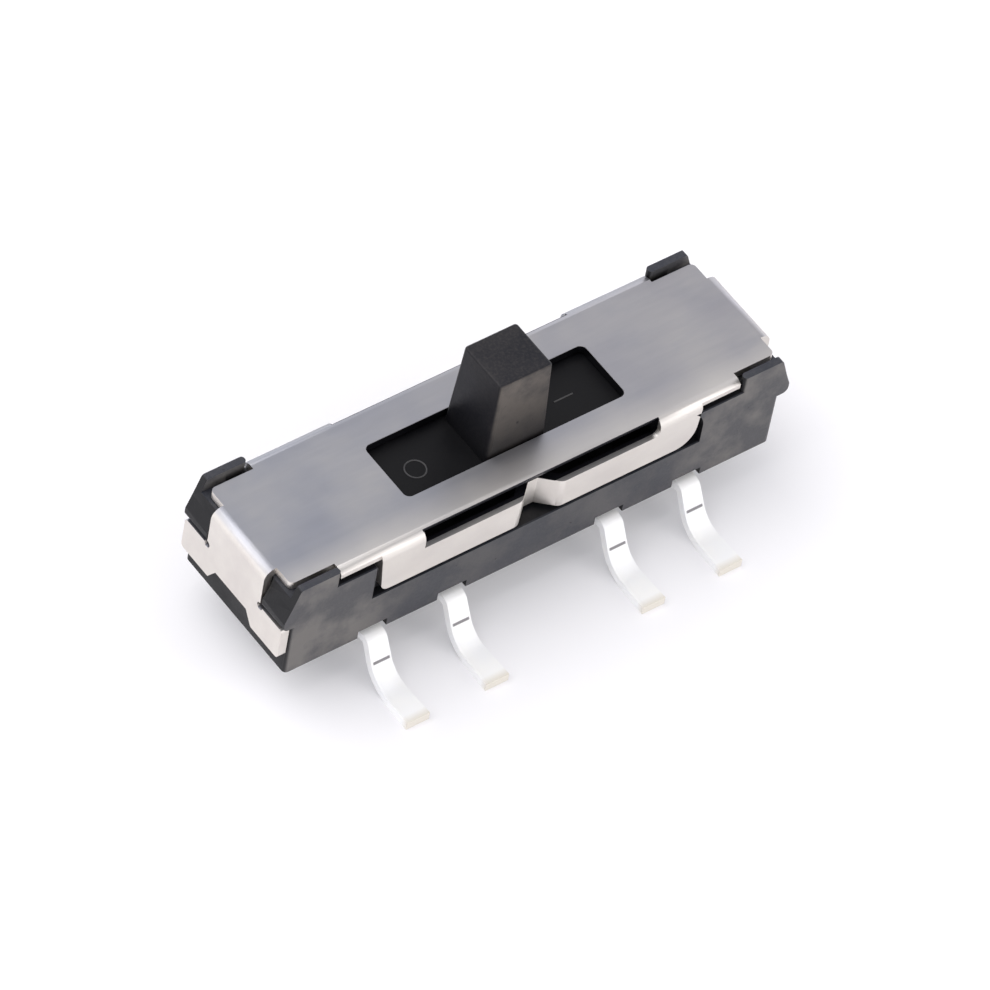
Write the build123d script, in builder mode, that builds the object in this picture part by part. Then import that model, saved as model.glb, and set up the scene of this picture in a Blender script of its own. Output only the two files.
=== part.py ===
from build123d import *
import math
import os

# Miniature surface-mount slide switch, two poles and three positions.
# All sizes are in millimetres. The origin lies under the middle of the body, on
# the plane that the feet stand on. +X runs along the slider's travel, the front
# row of terminals is at -Y, and +Z points up through the knob.

# Moulded housing
standoff = 1.03                 # underside of the housing above the feet
body_length = 12.36
body_width = 3.5
floor_thickness = 0.42
end_wall = 0.46
guide_wall = 0.55               # from the cavity to the outside, on the long sides
corner_round = 0.1              # upright corners of the housing
cavity_round = 0.1

# Corner posts and locating rims of the housing
rim_length = 1.08               # from the end of the body inwards
rim_width = 0.17
rim_clearance = 0.16            # from a rim to the ear beside it
rim_shoulder_inset = 0.09       # from the end of the body to the slope
rim_round = 0.08                # where a rim turns into the slope
rim_end_round = 0.08            # upright edges at a rim's inner end
rim_rise = 0.1                  # above the cover
post_slope_reach = 0.09         # past the body, where the end face turns steeper
post_slope_drop = 0.42          # under the cover's top
post_nose_drop = 0.76
post_round = 0.14               # on the nose of each post

# Stamped and folded cover
sheet = 0.2
plate_top = 3.5
bend_inside = 0.05
cover_gap = 0.02                # from the housing to the top plate and the end plates
ear_inset = 0.06                # from the end of the body
ear_round = 0.12
lip_length = 1.0
lip_inset = 0.06                # from the outside of the side walls
lip_clearance = 0.05            # from the lip's end to the rim
window_end_gap = 0.034          # round the knob, at both ends of its travel
window_side_gap = 0.048
window_round = 0.15
side_wall_height = 1.21
side_wall_taper = 0.1           # at each end, from top to bottom
side_wall_left_round = 0.22
side_wall_right_round = 0.5
slot_end_margin = 1.08          # from the side wall's end
slot_drop = 0.43                # from the cover's top to the side spring
slot_inset = 0.15               # how far the slot eats into the bend
slot_round = 0.14
neck_half_width = 0.93
neck_clearance = 0.05
left_arm_inset = 0.05           # from the sides of the body
right_arm_inset = 0.3
arm_drop = 1.04                 # under the cover's top
arm_height = 0.85
arm_notch_height = 0.34
arm_notch_top_half = 0.54
arm_notch_foot_half = 0.76
arm_relief = 0.09               # radius of the relief beside each neck
arm_round = 0.08

# Recess in the long sides of the housing that takes a side wall of the cover
recess_gap = 0.02               # behind the side wall
recess_margin = 0.11            # past its edges
lip_gap = 0.14                  # under the lips

# Detent nose pressed inwards in each side spring
nose_depth = 0.36
nose_half_length = 0.56
nose_tip_half = 0.16
nose_bend = 0.12

# Slider and its knob
travel = 2.0                    # each way from the middle position
slider_side_gap = 0.04
slider_top_gap = 0.04           # under the cover
slider_end_gap = 0.02
slider_floor_gap = 0.3
slider_round = 0.12
knob_length = 1.32              # at the top
knob_width = 1.28
knob_rise = 2.05                # above the cover
knob_draft = 2.2                # degrees on each face
knob_round = 0.08
knob_top_round = 0.06
scallop_radius = 0.5
scallop_depth = 0.14
nose_gap = 0.03                 # from the nose to the ridges between scallops

# Bridging contact clips in pockets of the slider
clip_width = 0.5
clip_sheet = 0.1
clip_seat_half = 0.4
clip_reach = 1.1                # from the middle to each contact point
clip_contact_half = 0.1
clip_tip_reach = 1.36
clip_tip_rise = 0.2
clip_contact_gap = 0.02
clip_bend = 0.08
pocket_depth = 0.85
pocket_end_margin = 0.08
pocket_side_gap = 0.03

# Terminals
lead_sheet = 0.2
lead_exit_rise = 0.06           # upper face of a lead above the housing's underside
lead_neck_width = 0.48
lead_toe_width = 0.58
toe_reach = 1.82                # past the side of the body
shoulder_reach = 0.11
lead_angle = 62.0               # degrees down from the shoulder
shoulder_bend = 0.14
foot_bend = 0.8
pad_rise = 0.02                 # above the floor of the cavity
pad_inner = 0.28
pad_side_gap = 0.08             # from the pad to the wall of the cavity
pad_gap = 0.4                   # between the pads of one row
jog_inset = 0.33
jog_bend = 0.1
exit_width = 0.72
exit_height = 0.21
exit_depth = 0.13

# Half lengths and half widths that follow from the ones above
body_half = body_length / 2
side_half = body_width / 2
cover_half = body_half + cover_gap + sheet
ear_half_length = body_half - ear_inset
rim_start = body_half - rim_length
rim_shoulder = body_half - rim_shoulder_inset
rim_inner_half = side_half - rim_width
post_slope_x = body_half + post_slope_reach
ear_half_width = rim_inner_half - rim_clearance
lip_half_length = rim_start - lip_clearance
lip_half_width = side_half - lip_inset
side_wall_top_half = lip_half_length - lip_length
side_wall_bottom_half = side_wall_top_half - side_wall_taper
slot_half_length = side_wall_top_half - slot_end_margin
slot_half_width = side_half - slot_inset
recess_half_length = side_wall_top_half + recess_margin
recess_depth = sheet + recess_gap
cavity_half = body_half - end_wall
cavity_side = side_half - guide_wall
wall_middle = side_half - sheet / 2
end_plate_middle = cover_half - sheet / 2
left_arm_half_width = side_half - left_arm_inset
right_arm_half_width = side_half - right_arm_inset
nose_end = nose_half_length + nose_bend
slider_half = cavity_half - slider_end_gap - travel
slider_side = min(cavity_side - slider_side_gap, side_half - sheet - nose_depth - nose_gap)
clip_row = slider_side / 2
pocket_half = clip_tip_reach + clip_sheet / 2 + pocket_end_margin

# Heights that follow
plate_underside = plate_top - sheet
plate_middle = plate_top - sheet / 2
housing_top = plate_underside - cover_gap
rim_top = plate_top + rim_rise
post_slope_z = plate_top - post_slope_drop
post_nose_z = plate_top - post_nose_drop
arm_top = plate_top - arm_drop
arm_bottom = arm_top - arm_height
arm_notch_top = arm_bottom + arm_notch_height
post_underside = arm_top + cover_gap
lip_shoulder = plate_underside - lip_gap
side_wall_bottom = plate_top - side_wall_height
slot_bottom = plate_top - slot_drop
recess_bottom = side_wall_bottom - recess_margin
floor_top = standoff + floor_thickness
slider_bottom = floor_top + slider_floor_gap
slider_top = plate_underside - slider_top_gap
knob_top = plate_top + knob_rise
pad_top = floor_top + pad_rise
pad_middle = pad_top - lead_sheet / 2
lead_middle = standoff + lead_exit_rise - lead_sheet / 2
exit_top = standoff + exit_height
clip_contact = pad_top + clip_contact_gap + clip_sheet / 2
clip_seat = slider_bottom + pocket_depth - clip_sheet / 2

# The cover's bends, and the window round the knob
sheet_bend = bend_inside + sheet / 2
bend_centre_y = side_half - sheet - bend_inside
bend_centre_z = plate_top - sheet - bend_inside
knob_slope = math.tan(math.radians(knob_draft))
knob_flare = (knob_top - slider_top) * knob_slope
window_flare = (knob_top - plate_underside) * knob_slope
window_length = knob_length + 2 * (window_flare + travel + window_end_gap)
window_width = knob_width + 2 * (window_flare + window_side_gap)

# The terminals' pitch is the slider's travel, so that each step bridges two pads
inner_lead_x = travel
outer_lead_x = 2 * travel
lead_tip = side_half + toe_reach
lead_shoulder = side_half + shoulder_reach
jog_end = side_half - jog_inset
pad_outer = cavity_side - pad_side_gap
inner_pad_end = inner_lead_x + lead_neck_width / 2
outer_pad_end = outer_lead_x + lead_neck_width / 2

os.makedirs("parts", exist_ok=True)

# Each terminal is one gull-wing strip: a contact pad on the cavity floor, a jog
# down through the wall, and a lead that bends down to a flat foot.
lead_run = (lead_middle - lead_sheet / 2) / math.tan(math.radians(lead_angle))
pads = (
    (-outer_lead_x, -outer_pad_end, -inner_pad_end - pad_gap),
    (-inner_lead_x, -inner_pad_end, -pad_gap / 2),
    (inner_lead_x, pad_gap / 2, inner_pad_end),
    (outer_lead_x, inner_pad_end + pad_gap, outer_pad_end),
)
terminals = []
for row, side in (("front", -1), ("rear", 1)):
    for number, (lead_x, pad_start, pad_end) in enumerate(pads, start=1):
        with BuildPart() as terminal:
            with BuildSketch(Plane.YZ.offset(lead_x)):
                with BuildLine():
                    FilletPolyline(
                        (side * pad_inner, pad_middle),
                        (side * pad_outer, pad_middle),
                        (side * jog_end, lead_middle),
                        (side * lead_shoulder, lead_middle),
                        (side * (lead_shoulder + lead_run), lead_sheet / 2),
                        (side * lead_tip, lead_sheet / 2),
                        radius=(jog_bend, jog_bend, shoulder_bend, foot_bend),
                    )
                trace(line_width=lead_sheet)
            extrude(amount=lead_toe_width / 2, both=True)

            # The lead widens from its neck to its toe
            with BuildSketch():
                with BuildLine():
                    Polyline(
                        (lead_x - lead_neck_width / 2, side * pad_inner),
                        (lead_x - lead_neck_width / 2, side * lead_shoulder),
                        (lead_x - lead_toe_width / 2, side * lead_tip),
                        (lead_x + lead_toe_width / 2, side * lead_tip),
                        (lead_x + lead_neck_width / 2, side * lead_shoulder),
                        (lead_x + lead_neck_width / 2, side * pad_inner),
                        close=True,
                    )
                make_face()
            extrude(amount=pad_top, mode=Mode.INTERSECT)

            with BuildSketch(Plane.XY.offset(pad_top)):
                with Locations(((pad_start + pad_end) / 2, side * (pad_inner + pad_outer) / 2)):
                    Rectangle(pad_end - pad_start, pad_outer - pad_inner)
            extrude(amount=-lead_sheet)
        terminal.part.label = f"terminal_{row}_{number}"
        export_step(terminal.part, f"parts/{terminal.part.label}.step")
        terminals.append(terminal.part)

# The housing is one moulding: a trough with a cavity for the slider, corner
# posts whose undercuts hold the cover, and the terminals moulded in.
with BuildPart() as housing:
    with BuildSketch(Plane.XY.offset(standoff)):
        RectangleRounded(body_length, body_width, corner_round)
    extrude(amount=housing_top - standoff)

    # Posts and rims at both ends, over the whole width
    with BuildSketch(Plane.XZ):
        for end in (-1, 1):
            with BuildLine():
                FilletPolyline(
                    (end * rim_start, housing_top),
                    (end * rim_start, rim_top),
                    (end * rim_shoulder, rim_top),
                    (end * post_slope_x, post_slope_z),
                    (end * cover_half, post_nose_z),
                    (end * cover_half, post_underside),
                    (end * (body_half - corner_round), post_underside),
                    (end * (body_half - corner_round), housing_top),
                    radius=(0, 0, rim_round, post_round, post_round, post_round, 0, 0),
                    close=True,
                )
            make_face()
    extrude(amount=side_half, both=True)

    # Bed for the ears, and a channel for each neck
    with BuildSketch(Plane.XY.offset(housing_top)):
        Rectangle(2 * cover_half, 2 * rim_inner_half)
    extrude(amount=rim_top - housing_top, mode=Mode.SUBTRACT)
    with BuildSketch(Plane.XY.offset(standoff)):
        with GridLocations(body_half + cover_half, 0, 2, 1):
            Rectangle(cover_half - body_half, 2 * (neck_half_width + neck_clearance))
    extrude(amount=housing_top - standoff, mode=Mode.SUBTRACT)

    # Recess in each long side for a side wall of the cover, and a step under its lips
    for side in (-1, 1):
        with BuildSketch(Plane.XZ.offset(-side * side_half)) as recess:
            with Locations((0, (housing_top + recess_bottom) / 2)):
                Rectangle(2 * recess_half_length, housing_top - recess_bottom)
            recess_corners = recess.vertices().group_by(Axis.Z)[0].sort_by(Axis.X)
            fillet(recess_corners[-1], radius=side_wall_right_round + recess_margin)
            with Locations((0, (housing_top + lip_shoulder) / 2)):
                Rectangle(2 * rim_start, housing_top - lip_shoulder)
        extrude(amount=side * recess_depth, mode=Mode.SUBTRACT)
    for end in (-1, 1):
        upright = housing.edges().filter_by(Axis.Z)
        upright = upright.filter_by_position(Axis.X, end * rim_start, end * rim_start)
        rim_ends = upright.filter_by_position(Axis.Y, rim_inner_half, side_half)
        rim_ends += upright.filter_by_position(Axis.Y, -side_half, -rim_inner_half)
        fillet(rim_ends, radius=rim_end_round)

    # Cavity, and the opening across both walls where the side springs work
    with BuildSketch(Plane.XY.offset(floor_top)):
        RectangleRounded(2 * cavity_half, 2 * cavity_side, cavity_round)
    extrude(amount=housing_top - floor_top, mode=Mode.SUBTRACT)
    with BuildSketch(Plane.XY.offset(recess_bottom)):
        Rectangle(2 * slot_half_length, body_width)
    extrude(amount=housing_top - recess_bottom, mode=Mode.SUBTRACT)

    # Exit pocket round each lead, and the bed of each terminal
    with BuildSketch(Plane.XY.offset(standoff)):
        for lead_x, pad_start, pad_end in pads:
            with Locations((lead_x, 0)):
                with GridLocations(0, body_width - exit_depth, 1, 2):
                    Rectangle(exit_width, exit_depth)
    extrude(amount=exit_top - standoff, mode=Mode.SUBTRACT)
    add(terminals, mode=Mode.SUBTRACT)
housing.part.label = "housing"
export_step(housing.part, "parts/housing.step")

# The cover is one folded sheet: a top plate with ears and lips, two side walls
# with a slotted spring in each, and a T-shaped end plate at each end.
with BuildPart() as cover:
    with BuildSketch(Plane.YZ):
        with BuildLine():
            FilletPolyline(
                (-wall_middle, side_wall_bottom),
                (-wall_middle, plate_middle),
                (wall_middle, plate_middle),
                (wall_middle, side_wall_bottom),
                radius=sheet_bend,
            )
        trace(line_width=sheet)
    extrude(amount=lip_half_length, both=True)

    # Outline of the side walls, under the lips that run on beside them
    with BuildSketch(Plane.XZ) as outline:
        with BuildLine():
            Polyline(
                (-side_wall_top_half, plate_underside),
                (-side_wall_bottom_half, side_wall_bottom),
                (side_wall_bottom_half, side_wall_bottom),
                (side_wall_top_half, plate_underside),
                close=True,
            )
        make_face()
        wall_corners = outline.vertices().group_by(Axis.Y)[0].sort_by(Axis.X)
        fillet(wall_corners[0], radius=side_wall_left_round)
        wall_corners = outline.vertices().group_by(Axis.Y)[0].sort_by(Axis.X)
        fillet(wall_corners[-1], radius=side_wall_right_round)
        with Locations((0, plate_middle)):
            Rectangle(2 * lip_half_length, sheet)
    extrude(amount=side_half, both=True, mode=Mode.INTERSECT)
    with BuildSketch(Plane.XY.offset(plate_underside)):
        with GridLocations(side_wall_top_half + lip_half_length, lip_half_width + side_half, 2, 2):
            Rectangle(lip_half_length - side_wall_top_half, side_half - lip_half_width)
    extrude(amount=sheet, mode=Mode.SUBTRACT)

    # Slot along each bend, which frees the side wall's upper edge as a spring
    with BuildSketch(Plane.YZ):
        for side in (-1, 1):
            with BuildLine():
                Polyline(
                    (side * bend_centre_y, slot_bottom),
                    (side * side_half, slot_bottom),
                    (side * side_half, plate_top),
                    (side * slot_half_width, plate_top),
                    (side * bend_centre_y, bend_centre_z),
                    close=True,
                )
            make_face()
    extrude(amount=slot_half_length, both=True, mode=Mode.SUBTRACT)
    slot_feet = cover.edges().filter_by(Axis.Y).filter_by_position(Axis.Z, slot_bottom, slot_bottom)
    fillet(slot_feet.sort_by(Axis.X)[-2:], radius=slot_round)

    # Detent nose folded into each spring
    with BuildSketch(Plane.XY.offset(side_wall_bottom)):
        with GridLocations(0, 2 * wall_middle, 1, 2):
            Rectangle(2 * nose_end, sheet)
    extrude(amount=slot_bottom - side_wall_bottom, mode=Mode.SUBTRACT)
    with BuildSketch(Plane.XY.offset(side_wall_bottom)):
        for side in (-1, 1):
            with BuildLine():
                FilletPolyline(
                    (-nose_end, side * wall_middle),
                    (-nose_half_length, side * wall_middle),
                    (-nose_tip_half, side * (wall_middle - nose_depth)),
                    (nose_tip_half, side * (wall_middle - nose_depth)),
                    (nose_half_length, side * wall_middle),
                    (nose_end, side * wall_middle),
                    radius=nose_bend,
                )
            trace(line_width=sheet)
    extrude(amount=slot_bottom - side_wall_bottom)

    # Ears, and a neck at each end that folds down into the end plate
    with BuildSketch(Plane.XY.offset(plate_underside)):
        RectangleRounded(2 * ear_half_length, 2 * ear_half_width, ear_round)
    extrude(amount=sheet)
    with BuildSketch(Plane.XZ):
        for end in (-1, 1):
            with BuildLine():
                FilletPolyline(
                    (end * lip_half_length, plate_middle),
                    (end * end_plate_middle, plate_middle),
                    (end * end_plate_middle, arm_bottom),
                    radius=sheet_bend,
                )
            trace(line_width=sheet)
    extrude(amount=neck_half_width, both=True)
    for end, arm_half_width in ((-1, left_arm_half_width), (1, right_arm_half_width)):
        with BuildSketch(Plane.YZ.offset(end * end_plate_middle)):
            with Locations((0, (arm_top + arm_bottom) / 2)):
                RectangleRounded(2 * arm_half_width, arm_top - arm_bottom, arm_round)
        extrude(amount=sheet / 2, both=True)

    # Foot notch in each end plate, and a relief beside each neck
    with BuildSketch(Plane.YZ):
        with BuildLine():
            Polyline(
                (-arm_notch_foot_half, arm_bottom),
                (-arm_notch_top_half, arm_notch_top),
                (arm_notch_top_half, arm_notch_top),
                (arm_notch_foot_half, arm_bottom),
                close=True,
            )
        make_face()
        with Locations((0, arm_top)):
            with GridLocations(2 * neck_half_width, 0, 2, 1):
                Circle(arm_relief)
    extrude(amount=cover_half, both=True, mode=Mode.SUBTRACT)

    with BuildSketch(Plane.XY.offset(plate_underside)):
        RectangleRounded(window_length, window_width, window_round)
    extrude(amount=sheet, mode=Mode.SUBTRACT)
cover.part.label = "cover"
export_step(cover.part, "parts/cover.step")

# The slider is one moulding: a block that runs in the cavity under the cover,
# with three scallops in each side for the noses, and the knob on top.
with BuildPart() as slider:
    with BuildSketch(Plane.XY.offset(slider_bottom)):
        RectangleRounded(2 * slider_half, 2 * slider_side, slider_round)
        with GridLocations(travel, 2 * (slider_side + scallop_radius - scallop_depth), 3, 2):
            Circle(scallop_radius, mode=Mode.SUBTRACT)
    extrude(amount=slider_top - slider_bottom)
    with BuildSketch(Plane.XY.offset(slider_bottom)):
        with GridLocations(0, 2 * clip_row, 1, 2):
            Rectangle(2 * pocket_half, clip_width + 2 * pocket_side_gap)
    extrude(amount=pocket_depth, mode=Mode.SUBTRACT)
    with BuildSketch(Plane.XY.offset(slider_top)):
        RectangleRounded(knob_length + 2 * knob_flare, knob_width + 2 * knob_flare, knob_round)
    with BuildSketch(Plane.XY.offset(knob_top)):
        RectangleRounded(knob_length, knob_width, knob_round)
    loft()
    fillet(slider.edges().group_by(Axis.Z)[-1], radius=knob_top_round)
slider.part.label = "slider"
export_step(slider.part, "parts/slider.step")

# Each contact clip is a bent strip seated in its pocket of the slider. It joins
# two neighbouring pads of its row.
for row, side in (("front", -1), ("rear", 1)):
    with BuildPart() as clip:
        with BuildSketch(Plane.XZ.offset(-side * clip_row)):
            with BuildLine():
                FilletPolyline(
                    (-clip_tip_reach, clip_contact + clip_tip_rise),
                    (-clip_reach - clip_contact_half, clip_contact),
                    (-clip_reach + clip_contact_half, clip_contact),
                    (-clip_seat_half, clip_seat),
                    (clip_seat_half, clip_seat),
                    (clip_reach - clip_contact_half, clip_contact),
                    (clip_reach + clip_contact_half, clip_contact),
                    (clip_tip_reach, clip_contact + clip_tip_rise),
                    radius=clip_bend,
                )
            trace(line_width=clip_sheet)
        extrude(amount=clip_width / 2, both=True)
    clip.part.label = f"contact_clip_{row}"
    export_step(clip.part, f"parts/{clip.part.label}.step")
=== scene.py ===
import math

import bmesh
import bpy
from mathutils import Matrix, Vector


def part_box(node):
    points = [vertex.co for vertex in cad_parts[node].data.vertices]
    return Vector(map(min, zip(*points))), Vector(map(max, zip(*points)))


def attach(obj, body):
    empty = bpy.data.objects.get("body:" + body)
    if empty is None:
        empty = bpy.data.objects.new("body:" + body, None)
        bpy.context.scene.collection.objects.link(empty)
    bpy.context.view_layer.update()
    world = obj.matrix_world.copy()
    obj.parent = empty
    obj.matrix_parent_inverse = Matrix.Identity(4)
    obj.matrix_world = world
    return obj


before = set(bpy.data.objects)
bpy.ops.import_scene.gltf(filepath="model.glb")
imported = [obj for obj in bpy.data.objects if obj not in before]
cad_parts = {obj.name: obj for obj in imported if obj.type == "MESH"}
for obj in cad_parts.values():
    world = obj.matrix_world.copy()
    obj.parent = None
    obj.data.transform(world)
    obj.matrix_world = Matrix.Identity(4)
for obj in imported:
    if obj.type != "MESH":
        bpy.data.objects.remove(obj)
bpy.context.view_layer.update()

# A miniature slide switch. Blender's lengths are in metres, and MM turns millimetres into them.
MM = 0.001

# Camera, at the photograph's viewing angle
CAMERA_AZIMUTH = -44.77
CAMERA_ELEVATION = 49.48
CAMERA_ROLL = 11.5
CAMERA_DISTANCE = 181.6 * MM
CAMERA_TARGET = Vector((-0.07, -0.48, 1.67)) * MM
CAMERA_LENS = 323.0
SENSOR_WIDTH = 36.0
CLIP_START = 10 * MM
CLIP_END = 10000 * MM

# Edge rounding of the carried-over solids
METAL_EDGE = 0.016 * MM
BRONZE_EDGE = 0.008 * MM
PLASTIC_EDGE = 0.035 * MM
EDGE_SEGMENTS = 2
EDGE_ANGLE = math.radians(38)
WELD_DISTANCE = 0.0005 * MM

TERMINALS = [f"terminal_{row}_{number}" for row in ("front", "rear") for number in (1, 2, 3, 4)]

# Brightness of the surroundings by height: the sine of the elevation, and the grey there
SKY = ((0.0, 1.6), (0.28, 1.55), (0.48, 1.15), (0.66, 0.68), (0.8, 0.56), (1.0, 0.52))
SKY_TINT = 0.97
SKY_STRENGTH = 2.0

# Lamps: place and size in millimetres, power in watts, and colour
KEY_LAMP = ((-112, 95, 243), 330, 0.53, (1.0, 0.985, 0.97))
FILL_LAMP = ((150, -195, 165), 200, 0.15, (1.0, 0.97, 0.93))

# Floor, which glows a little where the camera or a reflection shows it
FLOOR_HALF = 4000 * MM
FLOOR_COLOUR = (0.79, 0.785, 0.81)
FLOOR_GLOW = 0.13

# Colours of the cover
# The top's colours are a painted shade, darker than the walls of the same sheet
SHADED_TOP_COOL_END = (0.375, 0.39, 0.455)
SHADED_TOP_WARM_END = (0.465, 0.455, 0.485)
CLOUD = (0.47, 0.455, 0.44)
SMEAR = (0.36, 0.37, 0.42)
ROLLING = (0.34, 0.34, 0.37)
# Painted highlight on the cover's top towards its near bend
NEAR_BEND_PAINTED_HIGHLIGHT = (0.80, 0.76, 0.71)
# Painted shade on the cover's far bend
FAR_BEND_PAINTED_SHADE = (0.30, 0.31, 0.34)
LIGHT_WALL = (0.755, 0.72, 0.675)
DARK_WALL = (0.69, 0.65, 0.615)
# Sheared faces: darker for the bare cut steel, and painted near black as the shade in the slots and the
# window
SHEARED_AND_SHADED = (0.04, 0.04, 0.05)

# Colours of the terminals and the contact clips
COOL_TIN = (0.93, 0.935, 0.95)
WARM_TIN = (0.97, 0.965, 0.95)
TOE_TIN = (0.72, 0.67, 0.58)
# Painted reflection of the housing's dark lower edge, in the crease across each lead
CREASE_REFLECTION_TONE = (0.16, 0.15, 0.16)
DARK_BRONZE = (0.68, 0.56, 0.34)
LIGHT_BRONZE = (0.78, 0.66, 0.44)

# Colours that all the mouldings share
SPECK = (0.01, 0.01, 0.012)
SHADED = (0.002, 0.002, 0.003)

# Where a change of tone starts and ends, in millimetres
COVER_SPAN = (-6.0, 6.0)
# Painted shade on the far bend
FAR_BEND_SHADE_SPAN = (1.5, 1.68)
FAR_BEND_SHADE_HEIGHT = (3.2, 3.3)
# Painted highlight towards the near bend
NEAR_BEND_HIGHLIGHT_SPAN = (-1.6, -0.9)
TOE_REACH = (3.38, 3.6)
# Where the crease and its painted reflection begin along each lead
LEAD_REACH = (1.9, 1.95)
# Dust and a painted sheen on the housing's long sides get stronger along this span
DUST_AND_SHEEN_SPAN = (3.2, 4.6)
# Painted shade in the recesses fades out over this height
RECESS_SHADE_FADE = (3.3, 3.5)
KNOB_SHADE = (3.3, 5.4)

# Where a change of tone starts and ends, by how squarely a face looks along an axis, from 0 to 1
# Painted shade on the cover's top against its walls
SHADED_TOP_FACING = (0.45, 0.9)
# Painted sheen on the mouldings' long sides
SHEEN_SIDE_FACING = (0.4, 0.9)
# Painted shade on the housing's end faces
END_FACE_SHADE_FACING = (0.3, 0.8)
# Painted shade on the knob's sides along the travel
KNOB_SHADE_FACING = (0.5, 0.9)

# The sheared faces round the cover's slots and its window, darker for the bare cut steel and painted near
# black as shade, in millimetres
SLOT_HALF_LENGTH = 2.985
SLOT_HEIGHT = (3.06, 3.487)
SLOT_WIDTH = (1.2, 1.635)
WINDOW_HALF = (2.85, 0.85)
WINDOW_HEIGHT = (3.25, 3.487)

# The housing's recesses behind the cover, where shade is painted, in millimetres
RECESS_HALF_WIDTH = 1.71
RECESS_HALF_LENGTH = 5.6

# Crease across each lead, in millimetres: a shallow bumped groove, with a painted dark reflection of the
# housing's lower edge along it
LEAD_PITCH = 2.0
CREASE_HEIGHT = 0.58
CREASE_WIDTH = 0.07
CREASE_HALF_LENGTH = 0.19
CREASE_FADE = 0.03

# Ring and bar moulded on the slider, in millimetres
RING_PLACE = (-2.04, -0.08)
RING_RADIUS = 0.23
RING_POINTS = 48
BAR_PLACE = (1.72, -0.05)
BAR_HALF_LENGTH = 0.24
BAR_STEPS = 6
MARK_STROKE = 0.035
MARK_RISE = 0.014
MARK_SIDES = 6
KNOB_RISE = 2.29    # from the slider's top to the knob's top


def add_camera():
    """A long lens at the photograph's viewing angle, turned about its own axis by the roll."""
    azimuth, elevation, roll = map(math.radians, (CAMERA_AZIMUTH, CAMERA_ELEVATION, CAMERA_ROLL))
    back = Vector((
        math.sin(azimuth) * math.cos(elevation),
        -math.cos(azimuth) * math.cos(elevation),
        math.sin(elevation),
    ))
    right = (-back).cross(Vector((0, 0, 1))).normalized()
    up = right.cross(-back)
    rolled_right = math.cos(roll) * right + math.sin(roll) * up
    rolled_up = math.cos(roll) * up - math.sin(roll) * right
    data = bpy.data.cameras.new("camera")
    data.lens = CAMERA_LENS
    data.sensor_width = SENSOR_WIDTH
    data.clip_start = CLIP_START
    data.clip_end = CLIP_END
    camera = bpy.data.objects.new("camera", data)
    bpy.context.scene.collection.objects.link(camera)
    turn = Matrix((rolled_right, rolled_up, back)).transposed().to_4x4()
    camera.matrix_world = Matrix.Translation(CAMERA_TARGET + back * CAMERA_DISTANCE) @ turn
    bpy.context.scene.camera = camera


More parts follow.
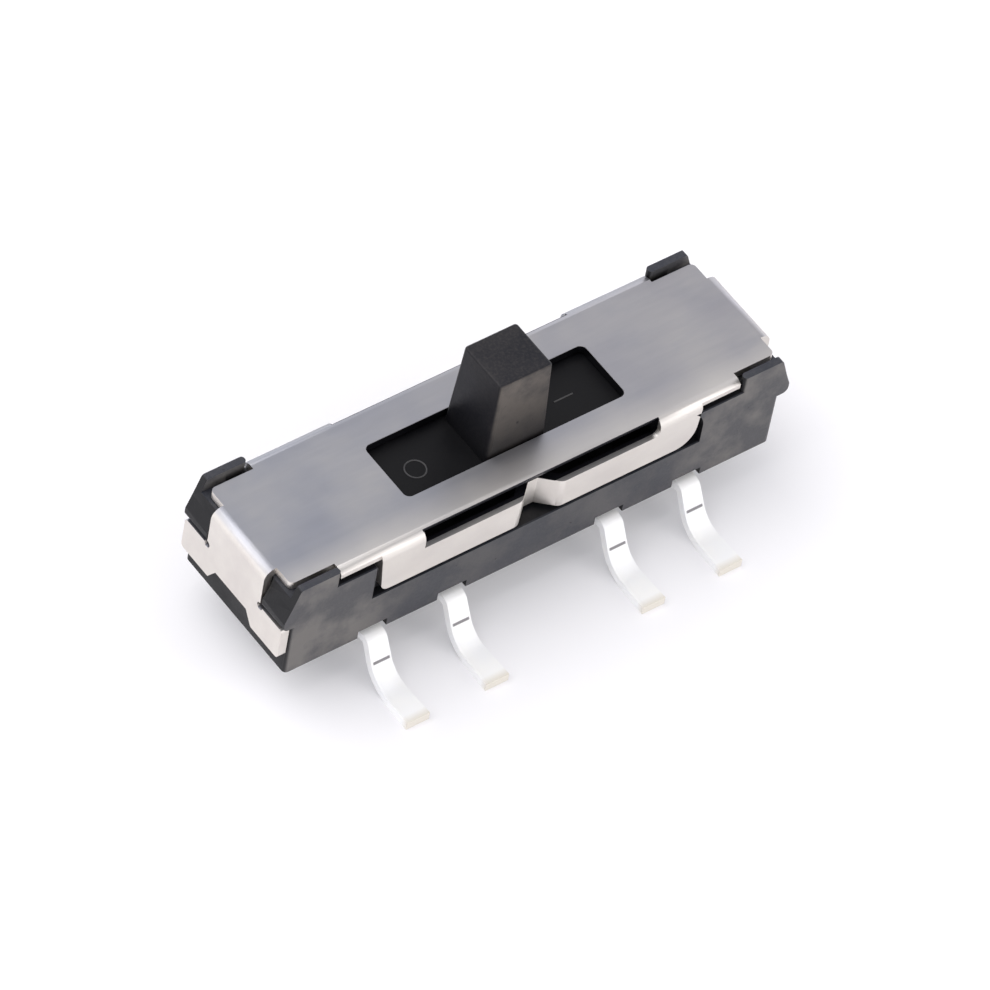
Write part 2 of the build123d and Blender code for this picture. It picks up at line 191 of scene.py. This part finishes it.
class Nodes:
    """A short way to build a node tree: each call adds one node and links its inputs."""

    def __init__(self, tree):
        self.tree = tree
        tree.nodes.clear()

    def add(self, kind, inputs=None, **settings):
        node = self.tree.nodes.new(kind)
        for name, value in settings.items():
            setattr(node, name, value)
        for name, value in (inputs or {}).items():
            if isinstance(value, bpy.types.NodeSocket):
                self.tree.links.new(value, node.inputs[name])
            else:
                node.inputs[name].default_value = value
        return node

    def noise(self, scale, detail=4.0, roughness=0.5, stretch=(1, 1, 1), place=(0, 0, 0)):
        """Noise in the object's own millimetres, with that many bumps to a millimetre."""
        where = self.add("ShaderNodeTexCoord").outputs["Object"]
        mapping = self.add("ShaderNodeMapping", {
            "Vector": where,
            "Location": place,
            "Scale": [s / MM for s in stretch],
        })
        return self.add("ShaderNodeTexNoise", {
            "Vector": mapping.outputs["Vector"],
            "Scale": scale,
            "Detail": detail,
            "Roughness": roughness,
        }).outputs["Fac"]

    def spread(self, value, low, high, start=0.3, end=0.7):
        """Maps a value between start and end, or the middle of a noise, to the range from low to high."""
        return self.add("ShaderNodeMapRange", {
            "Value": value,
            "From Min": start,
            "From Max": end,
            "To Min": low,
            "To Max": high,
        }).outputs["Result"]

    def blend(self, factor, first, second):
        """The first colour where the factor is 0, and the second where it is 1."""
        mix = self.add("ShaderNodeMix", data_type="RGBA")
        for socket, value in ((mix.inputs[0], factor), (mix.inputs[6], first), (mix.inputs[7], second)):
            if isinstance(value, bpy.types.NodeSocket):
                self.tree.links.new(value, socket)
            elif isinstance(value, (int, float)):
                socket.default_value = value
            else:
                socket.default_value = (*value, 1.0)
        return mix.outputs[2]

    def place(self, axis):
        """One of the object's own coordinates, in metres."""
        where = self.add("ShaderNodeTexCoord").outputs["Object"]
        return self.add("ShaderNodeSeparateXYZ", {"Vector": where}).outputs[axis]

    def facing(self, axis):
        """How squarely a surface faces along an axis, from 0 to 1."""
        normal = self.add("ShaderNodeNewGeometry").outputs["Normal"]
        return self.math("ABSOLUTE", self.add("ShaderNodeSeparateXYZ", {"Vector": normal}).outputs[axis])

    def across(self, value, low, high, span):
        """Maps a span in millimetres to the range from low to high."""
        return self.spread(value, low, high, span[0] * MM, span[1] * MM)

    def within(self, value, low, high):
        """One between two limits in millimetres, and nothing outside them."""
        above = self.math("GREATER_THAN", value, low * MM)
        return self.both(above, self.math("LESS_THAN", value, high * MM))

    def nearer(self, axis, limit):
        """One within that many millimetres of the middle, and nothing outside them."""
        return self.math("LESS_THAN", self.math("ABSOLUTE", self.place(axis)), limit * MM)

    def both(self, first, second):
        """Two factors multiplied, so that it is strong only where both are."""
        return self.math("MULTIPLY", first, second)

    def math(self, operation, first, second=0.0):
        return self.add("ShaderNodeMath", {0: first, 1: second}, operation=operation).outputs[0]

    def bump(self, height, depth, normal=None):
        """Relief of that many millimetres, on top of an earlier one if its normal is given."""
        inputs = {"Height": height, "Distance": depth * MM, "Strength": 1.0}
        if normal is not None:
            inputs["Normal"] = normal
        return self.add("ShaderNodeBump", inputs).outputs["Normal"]

    def output(self, shader):
        self.add("ShaderNodeOutputMaterial", {"Surface": shader})


def new_material(name):
    material = bpy.data.materials.new(name)
    material.use_nodes = True
    return material, Nodes(material.node_tree)


def cover_material():
    """Tinned sheet: grey on top and cooler at one end, cream on its walls. The top's grey is a painted
    shade against the walls of the same sheet. A painted highlight runs towards the near bend and painted
    shade lies on the far bend. Sheared faces are darker for the bare cut steel, and painted near black as
    the shade in the slots and the window.
    """
    material, n = new_material("cover_sheet")
    clouds = n.noise(0.55, detail=3, place=(3, 1, 7))
    smears = n.noise(1.3, detail=4, roughness=0.6, stretch=(0.6, 1.4, 1), place=(8, 2, 0))
    rolled = n.noise(9, detail=5, stretch=(0.12, 1, 1))
    grain = n.noise(26, detail=3)
    width = n.place("Y")
    height = n.place("Z")
    tone = n.blend(n.across(n.place("X"), 0, 1, COVER_SPAN), SHADED_TOP_COOL_END, SHADED_TOP_WARM_END)
    tone = n.blend(n.spread(clouds, 0, 0.6), tone, CLOUD)
    tone = n.blend(n.spread(smears, 0.0, 0.35, 0.5, 0.75), tone, SMEAR)
    tone = n.blend(n.spread(rolled, 0.0, 0.2), tone, ROLLING)
    # Painted highlight: the top turns cream towards the near bend
    tone = n.blend(n.across(width, 0.55, 0, NEAR_BEND_HIGHLIGHT_SPAN), tone, NEAR_BEND_PAINTED_HIGHLIGHT)
    wall = n.blend(n.spread(smears, 0, 1), LIGHT_WALL, DARK_WALL)
    # Painted shade: the top is darker than the walls of the same sheet, by which way a face looks
    tone = n.blend(n.spread(n.facing("Z"), 1, 0, *SHADED_TOP_FACING), tone, wall)
    # Painted shade on the far bend
    far_bend_shade = n.both(n.across(width, 0, 1, FAR_BEND_SHADE_SPAN), n.across(height, 0, 1, FAR_BEND_SHADE_HEIGHT))
    tone = n.blend(far_bend_shade, tone, FAR_BEND_PAINTED_SHADE)
    # Sheared faces in the slots and round the window: darker for the bare cut steel, and painted near
    # black as the shade there
    slot = n.both(n.within(height, *SLOT_HEIGHT), n.within(n.math("ABSOLUTE", width), *SLOT_WIDTH))
    slot = n.both(slot, n.nearer("X", SLOT_HALF_LENGTH))
    window = n.both(n.nearer("X", WINDOW_HALF[0]), n.nearer("Y", WINDOW_HALF[1]))
    window = n.both(window, n.within(height, *WINDOW_HEIGHT))
    tone = n.blend(n.math("MAXIMUM", slot, window), tone, SHEARED_AND_SHADED)
    normal = n.bump(rolled, 0.0009)
    normal = n.bump(grain, 0.0008, normal)
    shader = n.add("ShaderNodeBsdfPrincipled", {
        "Base Color": tone,
        "Metallic": 1.0,
        "Roughness": n.spread(clouds, 0.34, 0.46),
        "Normal": normal,
    })
    n.output(shader.outputs["BSDF"])
    return material


def tin_material():
    """Matt tin plate on the terminals, with a crease across each lead whose dark line is a painted
    reflection of the housing's lower edge, and a yellower toe.
    """
    material, n = new_material("matt_tin")
    clouds = n.noise(1.6, detail=3)
    grain = n.noise(30, detail=4)
    reach = n.math("ABSOLUTE", n.place("Y"))
    off_lead = n.math("PINGPONG", n.math("ADD", n.place("X"), LEAD_PITCH * MM), LEAD_PITCH / 2 * MM)
    across = n.across(off_lead, 1, 0, (CREASE_HALF_LENGTH, CREASE_HALF_LENGTH + CREASE_FADE))
    off_crease = n.math("ABSOLUTE", n.math("SUBTRACT", n.place("Z"), CREASE_HEIGHT * MM))
    crease_and_reflection = n.across(off_crease, 1, 0, (CREASE_WIDTH / 4, CREASE_WIDTH / 2))
    crease_and_reflection = n.both(n.both(crease_and_reflection, across), n.across(reach, 0, 1, LEAD_REACH))
    tone = n.blend(n.spread(clouds, 0, 1), COOL_TIN, WARM_TIN)
    tone = n.blend(n.across(reach, 0, 1, TOE_REACH), tone, TOE_TIN)
    # Painted reflection: a dark line across each lead, over the crease's shallow bump
    tone = n.blend(n.both(crease_and_reflection, 0.9), tone, CREASE_REFLECTION_TONE)
    normal = n.bump(grain, 0.0012)
    normal = n.bump(n.math("SUBTRACT", 1.0, crease_and_reflection), 0.02, normal)
    shader = n.add("ShaderNodeBsdfPrincipled", {
        "Base Color": tone,
        "Metallic": 0.05,
        "Roughness": n.spread(grain, 0.42, 0.58),
        "Normal": normal,
    })
    n.output(shader.outputs["BSDF"])
    return material


def clip_material():
    """Plated spring bronze."""
    material, n = new_material("clip_bronze")
    grain = n.noise(20, detail=4, stretch=(0.2, 1, 1))
    tone = n.blend(n.spread(grain, 0, 1), DARK_BRONZE, LIGHT_BRONZE)
    shader = n.add("ShaderNodeBsdfPrincipled", {
        "Base Color": tone,
        "Metallic": 1.0,
        "Roughness": n.spread(grain, 0.25, 0.4),
        "Normal": n.bump(grain, 0.001),
    })
    n.output(shader.outputs["BSDF"])
    return material


def plastic_material(name, dark, light, dust_and_sheen, rough, shine, dust_and_sheen_span=None, shade=None):
    """Glass-filled moulding: cloudy and fine-grained, with paler patches on its long sides that are
    partly dust and partly a painted sheen, strongest on faces that look along Y.

    The dust and the sheen get stronger along the span given, and shade(n) says how dark the painted shade
    is at each place.
    """
    material, n = new_material(name)
    clouds = n.noise(0.5, detail=4, place=(5, 2, 1))
    patches = n.noise(0.8, detail=6, roughness=0.62, place=(1, 9, 4))
    grain = n.noise(16, detail=6, roughness=0.65)
    specks = n.noise(7, detail=2, place=(4, 4, 2))
    tone = n.blend(n.spread(clouds, 0, 1), dark, light)
    # Painted sheen on the faces that look along Y, patchy like dust
    dust_and_side_sheen = n.both(n.spread(n.facing("Y"), 0.1, 1, *SHEEN_SIDE_FACING), n.spread(patches, 0.3, 1, 0.42, 0.62))
    if dust_and_sheen_span is not None:
        off_middle = n.math("ABSOLUTE", n.place("X"))
        dust_and_side_sheen = n.both(dust_and_side_sheen, n.across(off_middle, 0.45, 1, dust_and_sheen_span))
    tone = n.blend(dust_and_side_sheen, tone, dust_and_sheen)
    tone = n.blend(n.spread(grain, 0, 0.16, 0.45, 0.75), tone, dust_and_sheen)
    tone = n.blend(n.spread(specks, 0, 0.7, 0.72, 0.78), tone, SPECK)
    if shade is not None:
        tone = n.blend(shade(n), tone, SHADED)
    normal = n.bump(grain, 0.0022)
    normal = n.bump(patches, 0.010, normal)
    shader = n.add("ShaderNodeBsdfPrincipled", {
        "Base Color": tone,
        "Roughness": n.spread(patches, rough - 0.08, rough + 0.1),
        "Specular IOR Level": shine,
        "Normal": normal,
    })
    n.output(shader.outputs["BSDF"])
    return material


def housing_painted_shade(n):
    """Painted shade in the housing's recesses, which the cover's walls keep in the dark, and on its end
    faces.
    """
    recess = n.both(n.nearer("Y", RECESS_HALF_WIDTH), n.nearer("X", RECESS_HALF_LENGTH))
    recess = n.both(recess, n.across(n.place("Z"), 0.9, 0, RECESS_SHADE_FADE))
    return n.math("MAXIMUM", recess, n.spread(n.facing("X"), 0, 0.95, *END_FACE_SHADE_FACING))


def knob_painted_shade(n):
    """Painted shade at the knob's foot, and on the sides of the knob that face along the travel."""
    foot = n.across(n.place("Z"), 0.97, 0, KNOB_SHADE)
    return n.math("MAXIMUM", foot, n.spread(n.facing("X"), 0, 0.5, *KNOB_SHADE_FACING))


def dress(node_name, material, edge):
    """Gives a carried-over solid its material and softens its edges."""
    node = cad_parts[node_name]
    node.data.materials.clear()
    node.data.materials.append(material)
    weld = node.modifiers.new("weld", "WELD")
    weld.merge_threshold = WELD_DISTANCE
    bevel = node.modifiers.new("edges", "BEVEL")
    bevel.width = edge
    bevel.segments = EDGE_SEGMENTS
    bevel.limit_method = "ANGLE"
    bevel.angle_limit = EDGE_ANGLE
    bevel.harden_normals = True
    bevel.use_clamp_overlap = True


def add_mark(name, bm, material):
    """Turns mesh data into one small raised mark on the slider's top."""
    mesh = bpy.data.meshes.new(name)
    bm.to_mesh(mesh)
    bm.free()
    mesh.materials.append(material)
    mark = bpy.data.objects.new(name, mesh)
    bpy.context.scene.collection.objects.link(mark)
    for polygon in mesh.polygons:
        polygon.use_smooth = True
    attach(mark, "slider")


def band_along(points, closed):
    """A low rounded band that follows a line of points on the slider's top."""
    bm = bmesh.new()
    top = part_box("slider")[1][2] - KNOB_RISE * MM
    section = []
    for k in range(MARK_SIDES + 1):
        turn = math.pi * k / MARK_SIDES
        section.append((MARK_STROKE / 2 * math.cos(turn), MARK_RISE * math.sin(turn)))
    rings = []
    count = len(points)
    for i, here in enumerate(points):
        before = points[i - 1] if closed or i > 0 else here
        after = points[(i + 1) % count] if closed or i + 1 < count else here
        along = (Vector(after) - Vector(before)).normalized()
        across = Vector((-along.y, along.x))
        ring = []
        for aside, rise in section:
            x, y = Vector(here) + across * aside
            ring.append(bm.verts.new((x * MM, y * MM, top + rise * MM)))
        rings.append(ring)
    for i in range(count if closed else count - 1):
        first, second = rings[i], rings[(i + 1) % count]
        for k in range(len(section) - 1):
            bm.faces.new((first[k], second[k], second[k + 1], first[k + 1]))
    bmesh.ops.recalc_face_normals(bm, faces=bm.faces)
    return bm


def add_marks(material):
    """A ring on one side of the knob, and a bar on the other."""
    x, y = RING_PLACE
    ring = []
    for k in range(RING_POINTS):
        turn = 2 * math.pi * k / RING_POINTS
        ring.append((x + RING_RADIUS * math.cos(turn), y + RING_RADIUS * math.sin(turn)))
    add_mark("ring_mark", band_along(ring, closed=True), material)
    x, y = BAR_PLACE
    bar = [(x + BAR_HALF_LENGTH * (k / BAR_STEPS - 1), y) for k in range(2 * BAR_STEPS + 1)]
    add_mark("bar_mark", band_along(bar, closed=False), material)


def add_floor():
    """Pale paper. Its glow reaches the camera and reflections only, and lights nothing."""
    mesh = bpy.data.meshes.new("floor")
    corners = [(x * FLOOR_HALF, y * FLOOR_HALF, 0) for x, y in ((-1, -1), (1, -1), (1, 1), (-1, 1))]
    mesh.from_pydata(corners, [], [(0, 1, 2, 3)])
    floor = bpy.data.objects.new("floor", mesh)
    bpy.context.scene.collection.objects.link(floor)
    material, n = new_material("floor_paper")
    path = n.add("ShaderNodeLightPath").outputs
    paper = n.add("ShaderNodeBsdfDiffuse", {"Color": (*FLOOR_COLOUR, 1)})
    glow = n.add("ShaderNodeEmission", {"Color": (1, 1, 1, 1), "Strength": FLOOR_GLOW})
    none = n.add("ShaderNodeEmission", {"Strength": 0.0})
    seen = n.math("MAXIMUM", path["Is Camera Ray"], path["Is Glossy Ray"])
    lift = n.add("ShaderNodeMixShader", {0: seen, 1: none.outputs[0], 2: glow.outputs[0]})
    both = n.add("ShaderNodeAddShader", {0: paper.outputs[0], 1: lift.outputs[0]})
    n.output(both.outputs[0])
    mesh.materials.append(material)


def add_area_light(name, place, size, power, colour):
    """A round lamp that points at the middle of the part's foot."""
    place = Vector(place) * MM
    data = bpy.data.lights.new(name, "AREA")
    data.shape = "DISK"
    data.size = size * MM
    data.energy = power
    data.color = colour
    lamp = bpy.data.objects.new(name, data)
    bpy.context.scene.collection.objects.link(lamp)
    lamp.location = place
    lamp.rotation_mode = "QUATERNION"
    lamp.rotation_quaternion = (-place).to_track_quat("-Z", "Y")


def add_world():
    """A bright surround near the horizon that gets darker towards the top."""
    world = bpy.data.worlds.new("studio")
    world.use_nodes = True
    n = Nodes(world.node_tree)
    direction = n.add("ShaderNodeTexCoord").outputs["Generated"]
    height = n.add("ShaderNodeSeparateXYZ", {"Vector": direction}).outputs["Z"]
    ramp = n.add("ShaderNodeValToRGB", {"Fac": height})
    stops = ramp.color_ramp.elements
    while len(stops) < len(SKY):
        stops.new(0.5)
    for stop, (place, grey) in zip(stops, SKY):
        stop.position = place
        level = grey / SKY_STRENGTH
        stop.color = (level * SKY_TINT, level * SKY_TINT, level, 1)
    surround = n.add("ShaderNodeBackground", {"Color": ramp.outputs["Color"], "Strength": SKY_STRENGTH})
    n.add("ShaderNodeOutputWorld", {"Surface": surround.outputs[0]})
    bpy.context.scene.world = world


add_camera()
housing_plastic = plastic_material(
    "housing_moulding",
    dark=(0.018, 0.021, 0.031),
    light=(0.029, 0.031, 0.042),
    # Colour of the dust and of the painted sheen on the long sides
    dust_and_sheen=(0.146, 0.138, 0.131),
    rough=0.5,
    shine=0.32,
    dust_and_sheen_span=DUST_AND_SHEEN_SPAN,
    shade=housing_painted_shade,
)
slider_plastic = plastic_material(
    "slider_moulding",
    dark=(0.006, 0.007, 0.012),
    light=(0.010, 0.0105, 0.015),
    # Colour of the dust and of the painted sheen on the knob's front
    dust_and_sheen=(0.115, 0.100, 0.088),
    rough=0.45,
    shine=0.20,
    shade=knob_painted_shade,
)
mark_plastic = plastic_material(
    "mark_moulding",
    dark=(0.034, 0.034, 0.038),
    light=(0.050, 0.050, 0.052),
    dust_and_sheen=(0.08, 0.076, 0.072),
    rough=0.4,
    shine=0.4,
)
dress("housing", housing_plastic, PLASTIC_EDGE)
dress("cover", cover_material(), METAL_EDGE)
dress("slider", slider_plastic, PLASTIC_EDGE)
clip_bronze = clip_material()
for row in ("front", "rear"):
    dress(f"contact_clip_{row}", clip_bronze, BRONZE_EDGE)
matt_tin = tin_material()
for terminal in TERMINALS:
    dress(terminal, matt_tin, METAL_EDGE)
add_marks(mark_plastic)

add_floor()
add_world()
add_area_light("key", *KEY_LAMP)
add_area_light("fill", *FILL_LAMP)

bpy.context.scene.view_settings.view_transform = "Standard"
